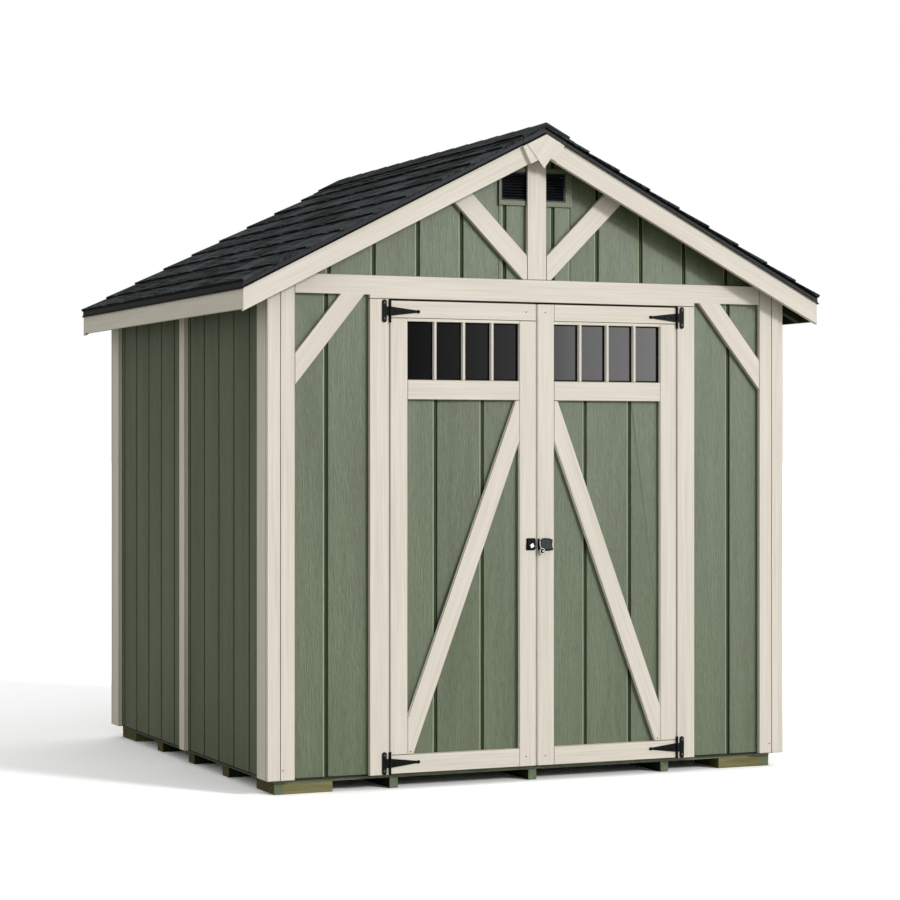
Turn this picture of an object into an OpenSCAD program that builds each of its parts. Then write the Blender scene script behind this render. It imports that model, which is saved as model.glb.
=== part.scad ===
// Garden shed on a timber deck: grooved wall panels on a stud frame, cream boards over every
// joint, a gable roof with shingles, and two framed doors on T-hinges.
// Millimetres. X runs across the front, Y from front to back, Z up from the ground.
// The origin is on the ground, under the middle of the whole outline.

/* [Body] */
// Width over the corner boards
body_w = 2476; // [2200:1:3200]
// Depth over the corner boards
body_l = 2340; // [1800:1:3200]
// Thickness of the grooved wall panels
siding_t = 10; // [8:0.5:14]
// Width of a groove in the panels
groove_w = 9; // [5:0.5:14]
// Depth of a groove in the panels
groove_d = 6; // [2:0.5:7]
// Spacing of the grooves on the side and rear walls
groove_pitch = 205; // [150:1:300]
// Gap between the floor deck and the lower edge of the panels
siding_gap = 11; // [6:1:20]
// Gap between the floor deck and the lower ends of the boards
trim_gap = 5; // [2:1:10]

/* [Base] */
// Height of the blocks, runners and bearers under the deck
block_h = 46; // [30:1:100]
// Thickness of the floor deck
deck_t = 12; // [9:0.5:22]
// Width of a corner block, across the front
corner_block_w = 262; // [150:1:400]
// Depth of a corner block, along the side
corner_block_l = 224; // [150:1:400]
// How far the blocks and the deck stand in from the corner boards
block_inset = 46; // [30:1:90]
// Width of a runner
runner_w = 40; // [30:1:90]
// Spacing of the runners
runner_pitch = 653; // [400:1:800]
// Width of a cross bearer
bearer_w = 88; // [40:1:120]
// Spacing of the cross bearers
bearer_pitch = 490; // [300:1:600]

/* [Frame] */
// Depth of a stud, plate or rafter
stud_d = 89; // [60:1:140]
// Thickness of a stud, plate or rafter
stud_t = 38; // [25:1:50]
// Number of studs in each side wall
side_studs_n = 5; // [3:1:8]
// Distance from the middle to the outer studs of the rear wall
rear_stud_x = 380; // [250:1:600]
// Thickness of the ridge board
ridge_t = 25; // [18:1:40]
// Height of the collar ties above the wall plates
collar_rise = 216; // [100:1:400]
// Thickness of a collar tie
collar_t = 19; // [15:1:40]

/* [Boards] */
// Thickness of every cream board
board_t = 19; // [15:1:25]
// Width of the outer board at a front corner
corner_outer_w = 58; // [40:1:90]
// Width of the inner board at a front corner
corner_inner_w = 63.5; // [40:0.5:90]
// Width of a corner board on the side wall, over its own edge
corner_side_w = 131; // [80:1:200]
// Open joint between two boards that lie side by side
board_joint = 0.8; // [0.5:0.1:2]
// Width of the battens on the side and rear walls
batten_w = 81; // [60:1:120]
// Height of the tie board over the doors
tie_h = 82; // [60:1:140]
// Height of the strip between the doors and the tie board
head_strip_h = 16; // [10:1:40]
// Width of the boards beside the doorway
jamb_w = 88; // [60:1:120]
// Width of the king post
post_w = 91; // [60:1:120]
// Width of the two slanted braces in the gable
brace_w = 89; // [60:1:110]
// Angle of the braces in the gable, from level
gable_brace_angle = 45; // [35:1:55]
// Angle of the braces at the corners, from level
corner_brace_angle = 51; // [40:1:60]
// Width of the braces at the corners
corner_brace_w = 84; // [60:1:110]
// Room along the tie board between a corner board and its brace
corner_brace_run = 204; // [120:1:215]

/* [Roof] */
// Slope of the roof, from level
roof_pitch = 27; // [20:0.5:35]
// Width of the rafters' seat on the wall plate
seat_w = 54; // [30:1:60]
// Overhang of the eaves beyond the corner boards
eave_over = 132; // [80:1:250]
// Overhang of the front gable beyond the corner boards
front_over = 80; // [40:1:200]
// Overhang of the rear gable beyond the corner boards
rear_over = 40; // [30:1:200]
// Thickness of the roof deck
roof_deck_t = 19.5; // [9:0.5:25]
// Clearance between the sloped layers of the roof
roof_fit = 0.05; // [0.03:0.01:0.2]
// Width of the rake boards and depth of the rafters
rake_w = 89; // [70:1:120]
// Open joint of the rake boards at the peak
rake_joint = 2; // [1:0.5:4]
// Thickness of the rake boards at the rear
rear_rake_t = 36; // [15:1:38]
// Thickness of the metal drip edge
drip_t = 2; // [1:0.5:3]
// How far the drip edge covers the board below it
drip_lap = 6; // [3:1:12]
// How far the shingles hang past the rake boards
shingle_over = 15; // [8:1:25]
// How far the shingles hang past the eaves
shingle_drip = 4; // [3:1:25]
// Visible height of one shingle course, along the slope
shingle_exposure = 167; // [120:1:200]
// Visible height of the lowest course
first_exposure = 142; // [100:1:200]
// Thickness of a course at its lower edge
shingle_butt = 11; // [8:0.5:14]
// Thickness of a course where the next one starts
shingle_head = 3; // [2:0.5:7]
// Width of one side of the ridge cap
cap_w = 118; // [90:1:160]
// Thickness of the ridge cap
cap_t = 18; // [4:0.5:20]

/* [Gable front] */
// Width of the vent
vent_w = 310; // [200:1:400]
// Height of the vent
vent_h = 126; // [80:1:200]
// Height of the vent's middle below the peak of the rafters' lower edge
vent_drop = 124; // [115:1:250]
// How far the opening of the vent stands to the right of the middle
vent_shift = -11; // [-15:1:15]
// Width of the rim round the vent
vent_rim_w = 20; // [12:1:30]
// How far that rim stands out
vent_rim_t = 8; // [4:1:12]
// Number of louvre blades
vent_blades = 9; // [5:1:14]
// Half width of the plate over the rake boards at the peak
apex_half_w = 99; // [85:1:130]
// Half width of the diamond on that plate
diamond_half_w = 80; // [60:1:85]
// Height of the diamond
diamond_h = 148; // [100:1:200]
// How far the diamond stands out from that plate
diamond_step = 3; // [2:0.5:6]
// How far the middle of the plate and the diamond is to the right of the peak
apex_shift = -12; // [-20:1:20]
// Nearest groove left of the middle of the gable
gable_first_left = 143; // [60:1:200]
// Spacing of the grooves left of the middle
gable_pitch_left = 203; // [150:1:300]
// Nearest groove right of the middle of the gable
gable_first_right = 89; // [60:1:200]
// Spacing of the grooves right of the middle
gable_pitch_right = 217; // [150:1:300]

/* [Doors] */
// Height of a door leaf
leaf_h = 2004; // [1700:1:2400]
// Width of a door leaf
leaf_w = 683; // [560:1:820]
// Gap between the two leaves
meeting_gap = 8; // [7:0.5:12]
// Gap round the leaves at the jambs and the head
leaf_gap = 6; // [5:0.5:10]
// Gap between a leaf and the floor deck
sill_gap = 8; // [6:1:20]
// Width of a stile
stile_w = 79; // [60:1:120]
// Width of the top rail
rail_w = 74; // [60:1:120]
// Width of the bottom rail
foot_rail_w = 79.5; // [60:0.5:120]
// Width of the lock rail below the window
lock_rail_w = 84; // [60:1:120]
// Height of the panel's strip between the top rail and the window
window_head = 12; // [6:1:30]
// Height of the window
window_h = 249; // [150:1:500]
// Width of the slanted brace on a leaf
leaf_brace_w = 79; // [50:1:90]
// Distance along the lock rail from the meeting stile to the brace's upper edge
brace_top_in = 17.5; // [0:0.5:40]
// Distance along the bottom rail from the outer stile to the brace's lower edge
brace_foot_in = 26.5; // [0:0.5:40]
// First groove of the leaf's panel from the meeting stile
leaf_first_groove = 165; // [60:1:200]
// Spacing of the grooves in the leaf's panel
leaf_pitch = 219; // [120:1:300]
// Thickness of the window pane
pane_t = 4; // [3:0.5:6]
// Clearance round the window pane
pane_fit = 0.3; // [0.2:0.1:0.8]

/* [Hinges and lock] */
// Height of a hinge's middle above or below the end of the leaf
hinge_inset = 46; // [45:1:120]
// Length of a hinge strap
strap_l = 141; // [100:1:200]
// Height of a hinge strap at its wide end
strap_h = 38; // [36:1:60]
// Height of a hinge strap at its narrow end
strap_end_h = 14; // [8:1:20]
// Thickness of the hinge plates
plate_t = 3.5; // [2.5:0.5:5]
// Height of the plate on the jamb
plate_h = 97; // [80:1:140]
// Width of the plate on the jamb
plate_w = 21; // [16:1:30]
// Distance of that plate's middle from the pin
plate_reach = 25; // [22:1:40]
// Outer radius of the knuckles
knuckle_r = 5; // [4:0.5:6]
// Radius of the hinge pin
pin_r = 3; // [2.5:0.5:3.5]
// Running clearance round the pin
pin_fit = 0.05; // [0.03:0.01:0.1]
// Height of the moving knuckle
moving_knuckle_h = 30; // [20:1:34]
// Clearance between knuckles
knuckle_gap = 0.5; // [0.3:0.1:1]
// Height of the lock above the bottom of the leaf
lock_rise = 963; // [800:1:1200]
// Width of the lock's plate on the left leaf
lock_plate_w = 45; // [30:1:60]
// Height of the lock's plate
lock_plate_h = 50; // [40:1:70]
// Width of the pull on the right leaf
pull_w = 60; // [40:1:70]
// Height of the pull
pull_h = 54; // [40:1:70]
// Radius of the hanging ring
ring_r = 12.5; // [8:0.5:14]
// Radius of the ring's wire
ring_wire_r = 2; // [1.5:0.5:3]

/* [Hidden] */

cream = "#DDD6CA";
sage = "#6F7A66";
charcoal = "#34383A";
bare_wood = "#8A8560";
black = "#17181A";
glass_grey = "#2A2F33";

slope = tan(roof_pitch);
hw = body_w / 2;
front_reach = front_over + board_t;
rear_reach = rear_over + shingle_over;
yf = (front_reach - rear_reach - body_l) / 2;
yr = yf + body_l;

panel_hw = hw - board_t;
frame_hw = panel_hw - siding_t;
frame_yf = yf + board_t + siding_t;
frame_yr = yr - board_t - siding_t;
inner_hw = frame_hw - stud_d;

deck_top = block_h + deck_t;
siding_z = deck_top + siding_gap;
trim_z = deck_top + trim_gap;
leaf_z = deck_top + sill_gap;
leaf_top = leaf_z + leaf_h;
head_z = leaf_top + leaf_gap;
plate_top = head_z + stud_t;
tie_z = head_z + head_strip_h;
tie_top = tie_z + tie_h;
seam_z = tie_z + tie_h / 2;

hinge_x = meeting_gap / 2 + leaf_w + leaf_gap / 2;
hinge_y = yf - knuckle_r - 0.2;
hinge_zs = [leaf_z + hinge_inset, leaf_top - hinge_inset];
jamb_x = hinge_x + leaf_gap / 2;
jamb_out = jamb_x + jamb_w;
corner_w = corner_outer_w + board_joint + corner_inner_w;
corner_in = hw - corner_w;

eave_x = hw + eave_over;
rake_rise = rake_w / cos(roof_pitch);
deck_rise = roof_deck_t / cos(roof_pitch);
peak_low = plate_top + slope * (frame_hw - seat_w);
peak_high = peak_low + rake_rise;
peak_deck = peak_high + deck_rise;
shingle_len = (eave_x + shingle_drip) / cos(roof_pitch);
courses = ceil((shingle_len - first_exposure - cap_w) / shingle_exposure) + 1;
vent_z = peak_low - vent_drop;
far = 4000;
eps = 0.01;

// Height of the lower edge, upper edge and deck top of the roof at a distance x from the middle
function low_z(x) = peak_low - slope * x;
function high_z(x) = peak_high - slope * x;
function deck_z(x) = peak_deck - slope * x;
// Point on the deck, s down the slope from the peak and v above it
function on_slope(s, v) = [
    s * cos(roof_pitch) + v * sin(roof_pitch),
    peak_deck - s * sin(roof_pitch) + v * cos(roof_pitch)
];
// Even positions of n pieces of thickness t between a and b
function spread(a, b, n, t) = [for (i = [0 : n - 1]) a + i * (b - a - t) / (n - 1)];
// Distance along the slope of the lower edge of a course
function butt_s(k) = shingle_len - (k == 0 ? 0 : first_exposure + (k - 1) * shingle_exposure);

// Extrudes an outline of the front view, X and Z, from y0 to y1
module front_slab(y0, y1) {
    translate([0, y1, 0]) rotate([90, 0, 0]) linear_extrude(y1 - y0) children();
}

// Box from one corner to the other
module span(low, high) {
    translate(low) cube(high - low);
}

// The same shape on the right and, mirrored, on the left
module both_sides() {
    children();
    mirror([1, 0, 0]) children();
}

// The same shape at the front and, mirrored, at the rear
module both_ends() {
    children();
    translate([0, yf + yr, 0]) mirror([0, 1, 0]) children();
}

// Outline of the gable between a lower level and the rafters' upper edge
module gable_outline(z, half) {
    polygon([[-half, z], [half, z], [half, high_z(half)], [0, peak_high], [-half, high_z(half)]]);
}

// Grooves down a wall that faces the front, at the x positions in a list
module front_grooves(y, xs, z0, z1) {
    for (x = xs) span([x - groove_w / 2, y - eps, z0], [x + groove_w / 2, y + groove_d, z1]);
}

module corner_blocks() {
    x1 = hw - block_inset;
    y0 = yf + block_inset;
    color(bare_wood) both_ends() both_sides()
        span([x1 - corner_block_w, y0, 0], [x1, y0 + corner_block_l, block_h]);
}

module runners() {
    color(sage) for (i = [-1 : 1])
        span([i * runner_pitch - runner_w / 2, yf + block_inset, 0],
             [i * runner_pitch + runner_w / 2, yr - block_inset, block_h]);
}

module cross_bearers() {
    y_mid = (yf + yr) / 2;
    color(sage) both_sides() for (i = [-1 : 1])
        span([runner_pitch + runner_w / 2, y_mid + i * bearer_pitch - bearer_w / 2, 0],
             [hw - block_inset, y_mid + i * bearer_pitch + bearer_w / 2, block_h]);
}

module floor_deck() {
    x1 = hw - block_inset;
    color(sage) span([-x1, yf + block_inset, block_h], [x1, yr - block_inset, deck_top]);
}

module side_plates() {
    color(bare_wood) both_sides() {
        span([inner_hw, frame_yf, deck_top], [frame_hw, frame_yr, deck_top + stud_t]);
        span([inner_hw, frame_yf, head_z], [frame_hw, frame_yr, plate_top]);
    }
}

module end_plates() {
    color(bare_wood) {
        both_sides() span([jamb_x, frame_yf, deck_top], [inner_hw, frame_yf + stud_d, deck_top + stud_t]);
        span([-inner_hw, frame_yr - stud_d, deck_top], [inner_hw, frame_yr, deck_top + stud_t]);
        both_ends() span([-inner_hw, frame_yf, head_z], [inner_hw, frame_yf + stud_d, plate_top]);
    }
}

module side_studs() {
    color(bare_wood) both_sides() for (y = spread(frame_yf, frame_yr, side_studs_n, stud_t))
        span([inner_hw, y, deck_top + stud_t], [frame_hw, y + stud_t, head_z]);
}

// Upright of an end wall whose outer face is at x, between the plates
module end_stud(x) {
    span([x - stud_t, frame_yf, deck_top + stud_t], [x, frame_yf + stud_d, head_z]);
}

module end_studs() {
    gable_x = vent_w / 2 + abs(vent_shift) + stud_t + 2;
    color(bare_wood) {
        both_ends() both_sides() end_stud(inner_hw);
        both_sides() end_stud(jamb_x + stud_t);
        both_sides() translate([0, yf + yr, 0]) mirror([0, 1, 0]) end_stud(rear_stud_x);
        both_ends() both_sides()
            span([gable_x - stud_t, frame_yf, plate_top], [gable_x, frame_yf + stud_t, low_z(gable_x)]);
    }
}

module rafters() {
    tail_x = eave_x - board_t;
    color(bare_wood) both_sides() for (y = spread(frame_yf, frame_yr, side_studs_n, stud_t))
        front_slab(y, y + stud_t) polygon([
            [ridge_t / 2, low_z(ridge_t / 2)], [frame_hw - seat_w, plate_top], [frame_hw, plate_top],
            [frame_hw, low_z(frame_hw)], [tail_x, low_z(tail_x)], [tail_x, high_z(tail_x)],
            [ridge_t / 2, high_z(ridge_t / 2)]
        ]);
}

module ridge_board() {
    color(bare_wood) span([-ridge_t / 2, frame_yf, peak_low - stud_t / 2],
                          [ridge_t / 2, frame_yr, high_z(ridge_t / 2)]);
}

module collar_ties() {
    ys = spread(frame_yf, frame_yr, side_studs_n, stud_t);
    z0 = plate_top + collar_rise;
    z1 = z0 + stud_d;
    end_gap = 6;
    x0 = (peak_high - z0) / slope - end_gap;
    x1 = (peak_high - z1) / slope - end_gap;
    color(bare_wood) for (i = [1 : side_studs_n - 2])
        front_slab(ys[i] + stud_t, ys[i] + stud_t + collar_t)
            polygon([[-x0, z0], [x0, z0], [x1, z1], [-x1, z1]]);
}

module eave_blocks() {
    ys = spread(frame_yf, frame_yr, side_studs_n, stud_t);
    x0 = frame_hw - stud_t;
    color(sage) both_sides() for (i = [0 : side_studs_n - 2])
        front_slab(ys[i] + stud_t + board_joint, ys[i + 1] - board_joint) polygon([
            [x0, plate_top], [frame_hw, plate_top], [frame_hw, high_z(frame_hw)], [x0, high_z(x0)]
        ]);
}

// Panel of the right wall; its grooves start from the batten
module side_panel() {
    y_mid = (yf + yr) / 2;
    near_batten = 70;
    past_batten = 174;
    reach = body_l / 2 - board_t - groove_w;
    ys = concat(
        [for (d = [near_batten : groove_pitch : reach]) y_mid - d],
        [for (d = [past_batten : groove_pitch : reach]) y_mid + d]
    );
    top = low_z(panel_hw);
    difference() {
        span([frame_hw, frame_yf, siding_z], [panel_hw, frame_yr, top]);
        for (y = ys)
            span([panel_hw - groove_d, y - groove_w / 2, siding_z - 1],
                 [panel_hw + 1, y + groove_w / 2, top + 1]);
    }
}

module left_wall() {
    color(sage) mirror([1, 0, 0]) side_panel();
}

module right_wall() {
    color(sage) side_panel();
}

module rear_wall() {
    half_pitch = groove_pitch / 2;
    xs = [for (d = [half_pitch : groove_pitch : panel_hw - groove_w]) d];
    color(sage) translate([0, yf + yr, 0]) mirror([0, 1, 0]) difference() {
        front_slab(yf + board_t, frame_yf) gable_outline(siding_z, panel_hw);
        both_sides() front_grooves(yf + board_t, xs, siding_z - 1, peak_high);
    }
}

// Panel between the corner and the doorway, on the right
module front_panel() {
    from_corner = 252;
    color(sage) difference() {
        span([jamb_x, yf + board_t, siding_z], [panel_hw, frame_yf, seam_z]);
        front_grooves(yf + board_t, [panel_hw - from_corner], siding_z - 1, seam_z + 1);
    }
}

module front_wall_left() {
    mirror([1, 0, 0]) front_panel();
}

module front_wall_right() {
    front_panel();
}

module front_gable() {
    reach = panel_hw - groove_w;
    xs = concat(
        [for (d = [gable_first_left : gable_pitch_left : reach]) -d],
        [for (d = [gable_first_right : gable_pitch_right : reach]) d]
    );
    y = yf + board_t;
    color(sage) difference() {
        union() {
            difference() {
                front_slab(y, frame_yf) gable_outline(seam_z, panel_hw);
                front_grooves(y, xs, seam_z - 1, peak_high);
            }
            span([-vent_w / 2 - vent_rim_w, y - vent_rim_t, vent_z - vent_h / 2 - vent_rim_w],
                 [vent_w / 2 + vent_rim_w, frame_yf, vent_z + vent_h / 2 + vent_rim_w]);
        }
        span([vent_shift - vent_w / 2, y - vent_rim_t - 1, vent_z - vent_h / 2],
             [vent_shift + vent_w / 2, frame_yf + 1, vent_z + vent_h / 2]);
    }
}

module corner_boards_side() {
    color(cream) both_ends() both_sides()
        span([panel_hw, yf + board_t, trim_z], [hw, yf + corner_side_w, low_z(hw)]);
}

module corner_boards_end() {
    outer_in = hw - corner_outer_w;
    color(cream) both_ends() both_sides() front_slab(yf, yf + board_t) {
        polygon([[outer_in, trim_z], [hw, trim_z], [hw, high_z(hw)], [outer_in, high_z(outer_in)]]);
        polygon([[corner_in, trim_z], [outer_in - board_joint, trim_z],
                 [outer_in - board_joint, high_z(outer_in - board_joint)], [corner_in, high_z(corner_in)]]);
    }
}

module battens() {
    y_mid = (yf + yr) / 2;
    color(cream) {
        both_sides() span([panel_hw, y_mid - batten_w / 2, trim_z], [hw, y_mid + batten_w / 2, low_z(hw)]);
        span([-batten_w / 2, yr - board_t, trim_z], [batten_w / 2, yr, high_z(batten_w / 2)]);
    }
}

module tie_board() {
    color(cream) span([-corner_in, yf, tie_z], [corner_in, yf + board_t, tie_top]);
}

module door_casing() {
    color(cream) {
        both_sides() span([jamb_x, yf, trim_z], [jamb_out, yf + board_t, head_z - board_joint]);
        span([-jamb_out, yf, head_z], [jamb_out, yf + board_t, tie_z]);
    }
}

// Room that the boards on the gable leave for the rim of the vent
module rim_rebate() {
    half_w = vent_w / 2 + vent_rim_w + board_joint;
    half_h = vent_h / 2 + vent_rim_w + board_joint;
    span([-half_w, yf + board_t - vent_rim_t - board_joint, vent_z - half_h],
         [half_w, yf + board_t + 1, vent_z + half_h]);
}

module king_post() {
    color(cream) difference() {
        span([-post_w / 2, yf, tie_top], [post_w / 2, yf + board_t, high_z(post_w / 2)]);
        rim_rebate();
    }
}

// Slanted board through a point, rising to the right at an angle, w wide above that point
module slanted(point, angle, w) {
    translate(point) rotate(angle) translate([-far / 2, 0]) square([far, w]);
}

// Board that rises from the king post to the right rake
module gable_brace() {
    x0 = post_w / 2 + board_joint;
    difference() {
        front_slab(yf, yf + board_t) intersection() {
            slanted([post_w / 2, tie_top - post_w / 4], gable_brace_angle, brace_w);
            polygon([[x0, tie_top], [hw, tie_top], [hw, high_z(hw)], [x0, high_z(x0)]]);
        }
        rim_rebate();
    }
}

// Board that falls from the tie board to the right corner board
module corner_brace() {
    run_in = max(corner_in - corner_brace_run, jamb_out);
    front_slab(yf, yf + board_t) intersection() {
        translate([run_in, tie_z]) rotate(-corner_brace_angle)
            translate([-far / 2, -corner_brace_w]) square([far, corner_brace_w]);
        polygon([[jamb_out, siding_z], [corner_in, siding_z], [corner_in, tie_z], [jamb_out, tie_z]]);
    }
}

module front_braces() {
    color(cream) both_sides() {
        gable_brace();
        corner_brace();
    }
}

module gable_vent() {
    fit = 0.3;
    wall = 7;
    lip = 4;
    y0 = yf + board_t - lip;
    y1 = frame_yf;
    half_w = vent_w / 2 - fit;
    half_h = vent_h / 2 - fit;
    blade_t = 1.6;
    blade_d = 14;
    blade_tilt = 40;
    pitch = (2 * half_h - 2 * wall) / vent_blades;
    color(black) translate([vent_shift, 0, 0]) {
        difference() {
            span([-half_w, y0, vent_z - half_h], [half_w, y1, vent_z + half_h]);
            span([-half_w + wall, y0 - 1, vent_z - half_h + wall],
                 [half_w - wall, y1 + 1, vent_z + half_h - wall]);
        }
        for (i = [0 : vent_blades - 1])
            translate([0, y0 + 1, vent_z - half_h + wall + (i + 0.25) * pitch]) rotate([blade_tilt, 0, 0])
                span([-half_w + wall - 1, 0, 0], [half_w - wall + 1, blade_d, blade_t]);
    }
}

module rake_boards() {
    x0 = rake_joint / 2;
    outline = [[x0, low_z(x0)], [eave_x, low_z(eave_x)], [eave_x, high_z(eave_x)], [x0, high_z(x0)]];
    color(cream) both_sides() {
        front_slab(yf - front_over, yf - front_over + board_t) polygon(outline);
        front_slab(yr + rear_over - rear_rake_t, yr + rear_over) polygon(outline);
    }
}

module eave_fascias() {
    x0 = eave_x - board_t;
    z0 = high_z(eave_x) - rake_w;
    color(cream) both_sides() front_slab(yf - front_over + board_t, yr + rear_over - rear_rake_t)
        polygon([[x0, z0], [eave_x, z0], [eave_x, high_z(eave_x)], [x0, high_z(x0)]]);
}

// Plate over both rake boards with square-cut ends, and the diamond on it
module apex_plate() {
    y1 = yf - front_over;
    w = rake_w - drip_lap - 1;
    top = peak_high - (drip_lap + 1) / cos(roof_pitch);
    xl = apex_shift - apex_half_w;
    xr = apex_shift + apex_half_w;
    dl = apex_shift - diamond_half_w;
    dr = apex_shift + diamond_half_w;
    cut = [w * sin(roof_pitch), -w * cos(roof_pitch)];
    color(cream) {
        front_slab(y1 - board_t + diamond_step, y1) polygon([
            [0, top], [xr, top - slope * xr], [xr, top - slope * xr] + [-cut[0], cut[1]],
            [0, peak_low], [xl, top + slope * xl] + cut, [xl, top + slope * xl]
        ]);
        front_slab(y1 - board_t, y1) polygon([
            [0, top], [dr, top - slope * dr], [apex_shift, top - diamond_h], [dl, top + slope * dl]
        ]);
    }
}

// Metal edge along the front, eave and rear of the right half of the roof
module drip_edge() {
    x0 = rake_joint / 2;
    x1 = eave_x + drip_t;
    lap = drip_lap / cos(roof_pitch);
    xe = eave_x;
    rake = [[x0, high_z(x0) - lap], [x1, high_z(x1) - lap], [x1, deck_z(x1)], [x0, deck_z(x0)]];
    eave = [[xe, high_z(xe) - lap], [x1, high_z(x1) - lap], [x1, deck_z(x1)], [xe, deck_z(xe)]];
    y0 = yf - front_over;
    y1 = yr + rear_over;
    front_slab(y0 - drip_t, y0) polygon(rake);
    front_slab(y1, y1 + drip_t) polygon(rake);
    front_slab(y0 - drip_t, y1 + drip_t) polygon(eave);
}

module drip_edges() {
    color(black) both_sides() drip_edge();
}

module roof_deck() {
    x0 = board_joint / 2;
    color(sage) both_sides() front_slab(yf - front_over, yr + rear_over) polygon([
        [x0, high_z(x0) + roof_fit], [eave_x, high_z(eave_x) + roof_fit],
        [eave_x, deck_z(eave_x)], [x0, deck_z(x0)]
    ]);
}

// Right half of the shingles: each course is thick at its lower edge and thins up to the next
module shingle_field() {
    top_course = courses - 1;
    steps = [for (k = [0 : top_course - 1]) each [
        on_slope(butt_s(k), shingle_butt), on_slope(butt_s(k + 1), shingle_head)
    ]];
    color(charcoal) front_slab(yf - front_over - shingle_over, yr + rear_reach) intersection() {
        polygon(concat([on_slope(shingle_len, roof_fit)], steps, [
            on_slope(butt_s(top_course), shingle_butt), on_slope(cap_w, shingle_head),
            on_slope(-cap_w, shingle_head), on_slope(-cap_w, roof_fit)
        ]));
        square(far);
    }
}

module shingles_left() {
    mirror([1, 0, 0]) shingle_field();
}

module shingles_right() {
    shingle_field();
}

module ridge_cap() {
    v0 = shingle_head + roof_fit;
    v1 = v0 + cap_t;
    low = on_slope(cap_w, v0);
    high = on_slope(cap_w, v1);
    color(charcoal) front_slab(yf - front_over - shingle_over, yr + rear_reach) polygon([
        low, high, [0, peak_deck + v1 / cos(roof_pitch)], [-high[0], high[1]],
        [-low[0], low[1]], [0, peak_deck + v0 / cos(roof_pitch)]
    ]);
}

// Fixed half of the right hinge, about its pin: plate, web, outer knuckles and pin
module fixed_hinge() {
    face = yf - hinge_y;
    knuckle_h = (plate_h - moving_knuckle_h) / 2 - knuckle_gap;
    web_gap = knuckle_r + 1.5;
    hub = moving_knuckle_h / 2 + knuckle_gap;
    both_hinge_ends() translate([0, 0, hub]) cylinder(r = knuckle_r, h = knuckle_h, $fn = 32);
    cylinder(r = pin_r, h = plate_h, center = true, $fn = 32);
    span([web_gap, face - plate_t, -strap_h / 2], [plate_reach, face, strap_h / 2]);
    both_hinge_ends() span([0, face - plate_t, hub], [plate_reach, face, strap_h / 2]);
    translate([plate_reach, face, 0]) rotate([90, 0, 0]) linear_extrude(plate_t) {
        square([plate_w, plate_h - plate_w], center = true);
        for (s = [-1, 1]) translate([0, s * (plate_h - plate_w) / 2]) circle(d = plate_w, $fn = 48);
    }
}

// The same shape above and, mirrored, below the middle of the hinge
module both_hinge_ends() {
    children();
    mirror([0, 0, 1]) children();
}

// Moving half of the right hinge, about its pin: knuckle and tapering strap with a round end
module moving_hinge() {
    face = yf - hinge_y;
    root = knuckle_r + 1.5;
    tip = strap_l - strap_end_h;
    difference() {
        union() {
            cylinder(r = knuckle_r, h = moving_knuckle_h, center = true, $fn = 32);
            span([-root - 1, face - plate_t, -moving_knuckle_h / 2], [0, face, moving_knuckle_h / 2]);
        }
        cylinder(r = pin_r + pin_fit, h = plate_h, center = true, $fn = 32);
    }
    translate([0, face, 0]) rotate([90, 0, 0]) linear_extrude(plate_t) {
        polygon([[-root, -strap_h / 2], [-root, strap_h / 2], [-tip, strap_end_h / 3], [-tip, -strap_end_h / 3]]);
        translate([-tip - strap_end_h / 3, 0]) circle(d = strap_end_h, $fn = 48);
    }
}

module hinge_plates() {
    color(black) both_sides() for (z = hinge_zs) translate([hinge_x, hinge_y, z]) fixed_hinge();
}

// Grooved panel of the right leaf, with its window cut through
module leaf_panel() {
    x0 = meeting_gap / 2;
    x1 = x0 + leaf_w;
    xs = [for (x = [x0 + stile_w + leaf_first_groove : leaf_pitch : x1 - stile_w]) x];
    y = yf + board_t;
    window_top = leaf_top - rail_w - window_head;
    color(sage) difference() {
        span([x0, y, leaf_z], [x1, frame_yf, leaf_top]);
        front_grooves(y, xs, leaf_z + foot_rail_w, window_top - window_h - lock_rail_w);
        span([x0 + stile_w, y - 1, window_top - window_h], [x1 - stile_w, frame_yf + 1, window_top]);
    }
}

// Stiles, rails and brace of the right leaf; its meeting stile ends at stile_top
module leaf_frame(stile_top, rail_x) {
    x0 = meeting_gap / 2;
    x1 = x0 + leaf_w;
    in0 = x0 + stile_w + board_joint;
    in1 = x1 - stile_w - board_joint;
    foot_top = leaf_z + foot_rail_w;
    rail_low = leaf_top - rail_w;
    lock_low = rail_low - window_head - window_h - lock_rail_w;
    field_z0 = foot_top + board_joint;
    field_h = lock_low - board_joint - field_z0;
    run = in1 - in0 - brace_top_in - brace_foot_in;
    lean = atan2(field_h, run) - asin(leaf_brace_w / norm([run, field_h]));
    color(cream) front_slab(yf, yf + board_t) {
        translate([x0, leaf_z]) square([stile_w, stile_top - leaf_z]);
        translate([in1 + board_joint, field_z0]) square([stile_w, rail_low - board_joint - field_z0]);
        translate([in0, leaf_z]) square([x1 - in0, foot_rail_w]);
        translate([rail_x, rail_low]) square([x1 - rail_x, rail_w]);
        translate([in0, lock_low]) square([in1 - in0, lock_rail_w]);
        intersection() {
            translate([in1 - brace_foot_in, field_z0]) rotate(180 - lean) translate([-far / 2, -leaf_brace_w])
                square([far, leaf_brace_w]);
            translate([in0, field_z0]) square([in1 - in0, field_h]);
        }
    }
}

// Pane of the right leaf, set in the panel's window
module leaf_pane() {
    x0 = meeting_gap / 2 + stile_w + pane_fit;
    x1 = meeting_gap / 2 + leaf_w - stile_w - pane_fit;
    z1 = leaf_top - rail_w - window_head - pane_fit;
    z0 = leaf_top - rail_w - window_head - window_h + pane_fit;
    y1 = frame_yf - 2;
    color(glass_grey) span([x0, y1 - pane_t, z0], [x1, y1, z1]);
}

module leaf_straps() {
    color(black) for (z = hinge_zs) translate([hinge_x, hinge_y, z]) moving_hinge();
}

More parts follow.
